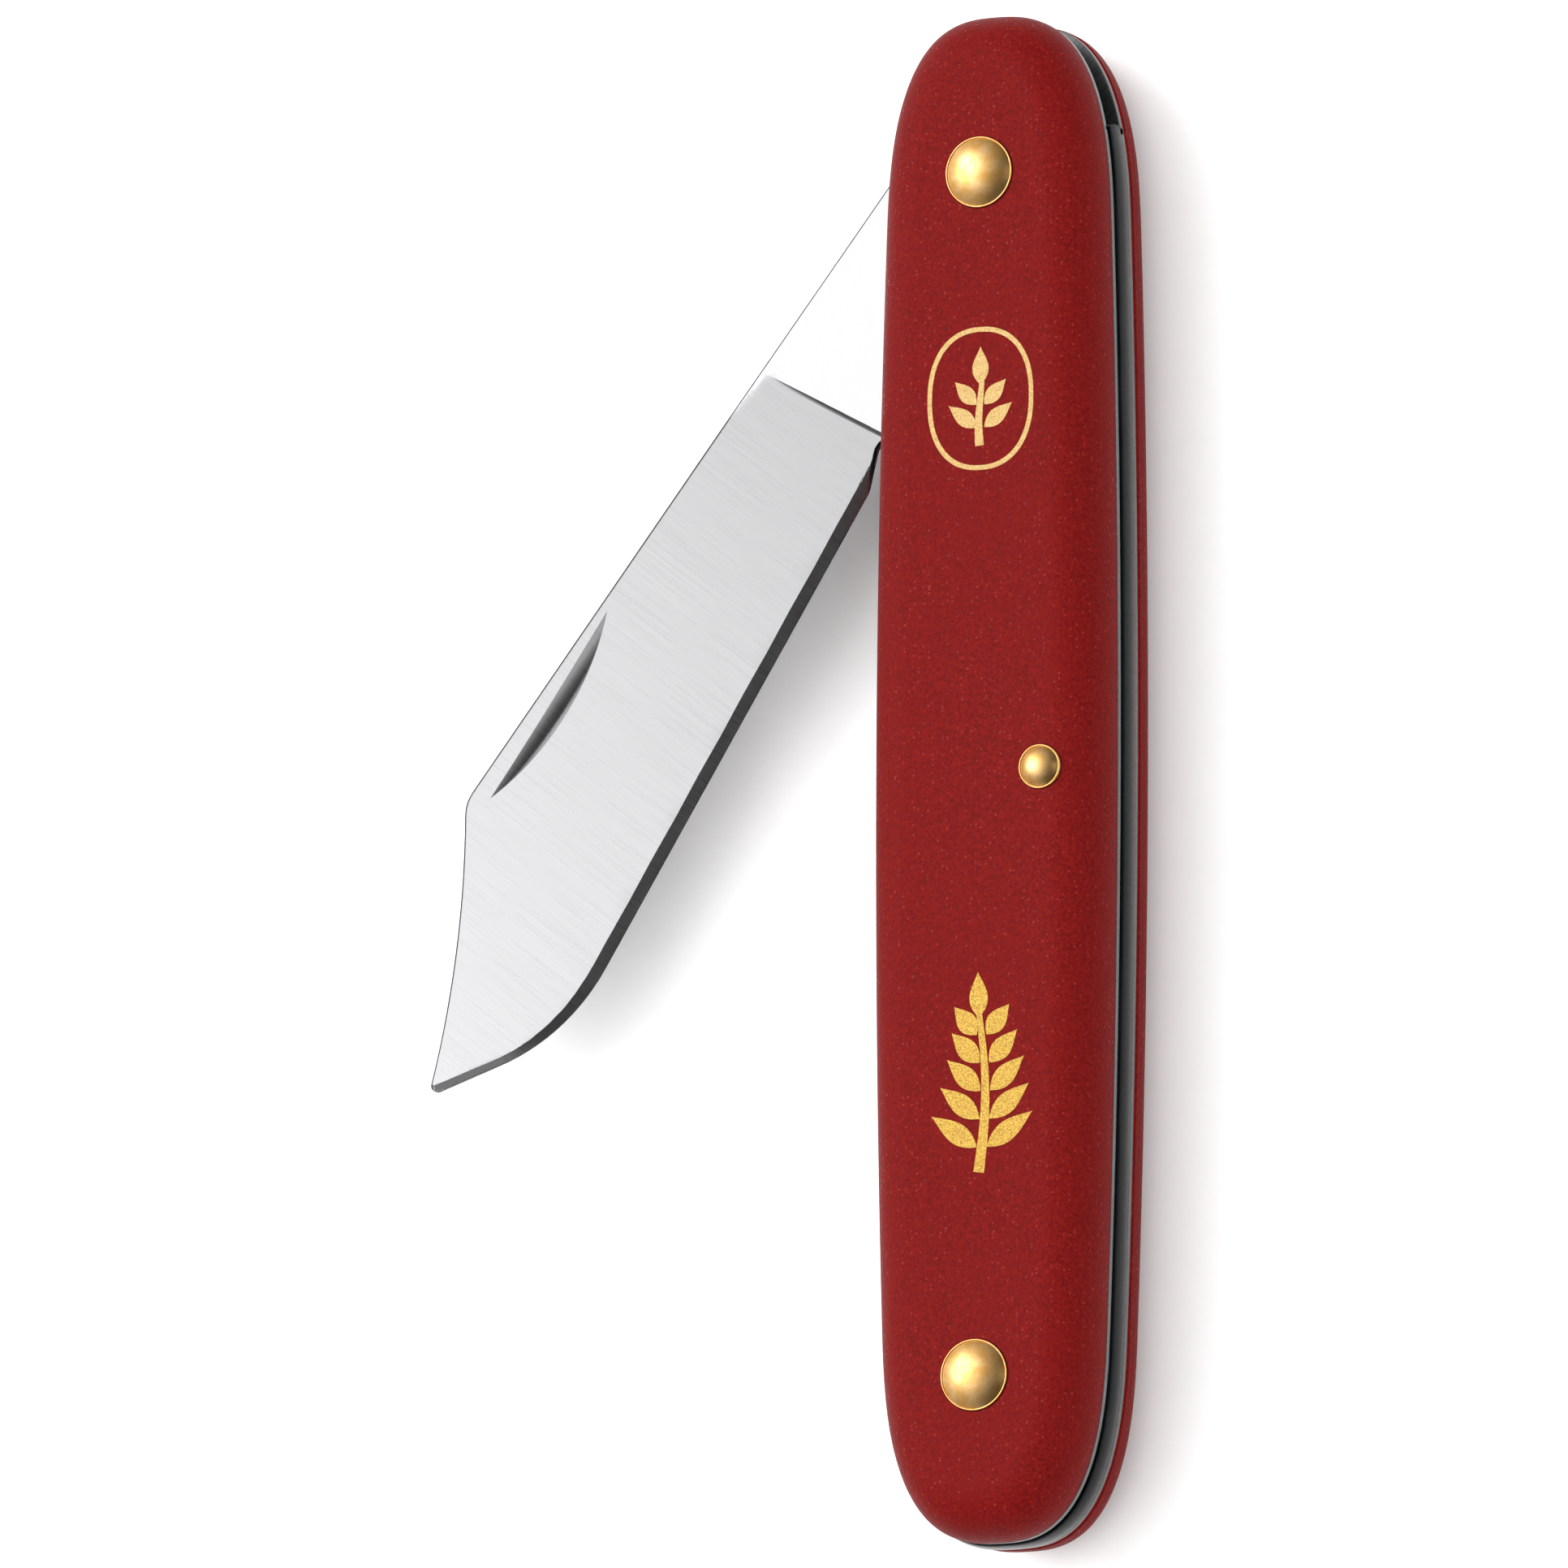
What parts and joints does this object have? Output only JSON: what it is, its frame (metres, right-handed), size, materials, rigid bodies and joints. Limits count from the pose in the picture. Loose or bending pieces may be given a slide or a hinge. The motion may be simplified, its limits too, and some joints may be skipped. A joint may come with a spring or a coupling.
{
  "type": "grafting knife",
  "caption": "Folding grafting knife with red moulded scales, a back spring and one broad blade with a hollow clip point, shown half open.",
  "frame": {"origin": "centre of the back scale's flat outer face, halfway along the handle", "axes": "+Z through the thickness to the front scale, +Y along the handle to the blade's pivot end, +X to the back spring"},
  "size_m": [0.0496, 0.1001, 0.013],
  "materials": {
    "red_nylon": "moulded nylon, fine spark-eroded grain, through-coloured dark red",
    "liner_metal": "blanked sheet, tumbled",
    "spring_steel": "hardened spring steel, back ground and polished along its length",
    "blade_steel": "stainless steel, polished ricasso, cross-satin ground faces",
    "brass": "stamped and polished brass"
  },
  "bodies": {
    "handle": {"back_scale": "red_nylon", "front_scale": "red_nylon", "back_liner": "liner_metal", "front_liner": "liner_metal", "pivot_pin": "brass", "pivot_cap_front": "brass", "pivot_cap_back": "brass", "middle_pin": "brass", "middle_cap_front": "brass", "middle_cap_back": "brass", "end_pin": "brass", "end_cap_front": "brass", "end_cap_back": "brass"},
    "spring": {"back_spring": "spring_steel"},
    "blade": {"blade": "blade_steel"}
  },
  "joints": [
    {"name": "blade_pivot", "type": "hinge", "parent": "handle", "child": "blade", "pos_m": [0, 0.0393, 0.00568], "axis": [0, 0, -1], "range_deg": [-31.5, 148.5]},
    {"name": "spring_flex", "type": "hinge", "parent": "handle", "child": "spring", "pos_m": [0, -0.0395, 0.00568], "axis": [0, 0, -1], "range_deg": [0, 0.25], "stiffness_Nm_per_rad": 2}
  ]
}
